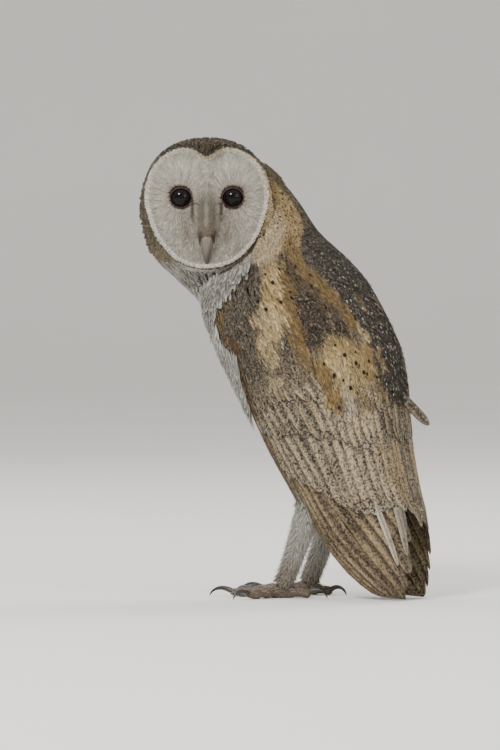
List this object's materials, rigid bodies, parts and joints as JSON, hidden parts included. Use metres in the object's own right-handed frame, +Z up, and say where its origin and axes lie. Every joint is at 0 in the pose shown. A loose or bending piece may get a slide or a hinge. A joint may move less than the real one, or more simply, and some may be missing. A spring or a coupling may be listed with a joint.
{
  "type": "barn owl",
  "caption": "Life-size still model of a barn owl standing on flat ground, with its wings folded and its heart-shaped face turned over its left shoulder.",
  "frame": {"origin": "under the middle of the model's bounding box, on the floor that the feet stand on", "axes": "+Z up; the body faces -Y, so the owl's left side is +X; the face looks over the left shoulder, towards +X and +Y"},
  "size_m": [0.1178, 0.204, 0.3159],
  "materials": {
    "crown": "matt grey-brown feathers, finely speckled",
    "face": "matt white hair-like feathers, brown near the eyes",
    "mantle": "matt golden-buff feathers, veiled with grey and spotted",
    "breast": "soft white down with small dark spots",
    "flight": "buff-brown flight feathers with faint dark bars",
    "leg": "short white bristly feathers",
    "toe": "scaly brown skin with sparse bristles",
    "claw": "dark polished horn",
    "bill": "pale pinkish-grey horn, softly polished",
    "eye": "black, wet gloss"
  },
  "bodies": {
    "root": {"head": "crown", "facial_disc": "face", "bill_upper": "bill", "bill_lower": "bill", "neck": "mantle", "trunk": "breast", "eye_left": "eye", "wing_left": "mantle", "secondaries_left": "flight", "primaries_left": "flight", "eye_right": "eye", "wing_right": "mantle", "secondaries_right": "flight", "primaries_right": "flight", "tail": "flight", "loose_feather": "flight", "thigh_left": "breast", "tarsus_left": "leg", "foot_left": "toe", "toe_left_middle": "toe", "claw_left_middle": "claw", "toe_left_inner": "toe", "claw_left_inner": "claw", "toe_left_outer": "toe", "claw_left_outer": "claw", "toe_left_hind": "toe", "claw_left_hind": "claw", "thigh_right": "breast", "tarsus_right": "leg", "foot_right": "toe", "toe_right_middle": "toe", "claw_right_middle": "claw", "toe_right_inner": "toe", "claw_right_inner": "claw", "toe_right_outer": "toe", "claw_right_outer": "claw", "toe_right_hind": "toe", "claw_right_hind": "claw"}
  },
  "joints": []
}
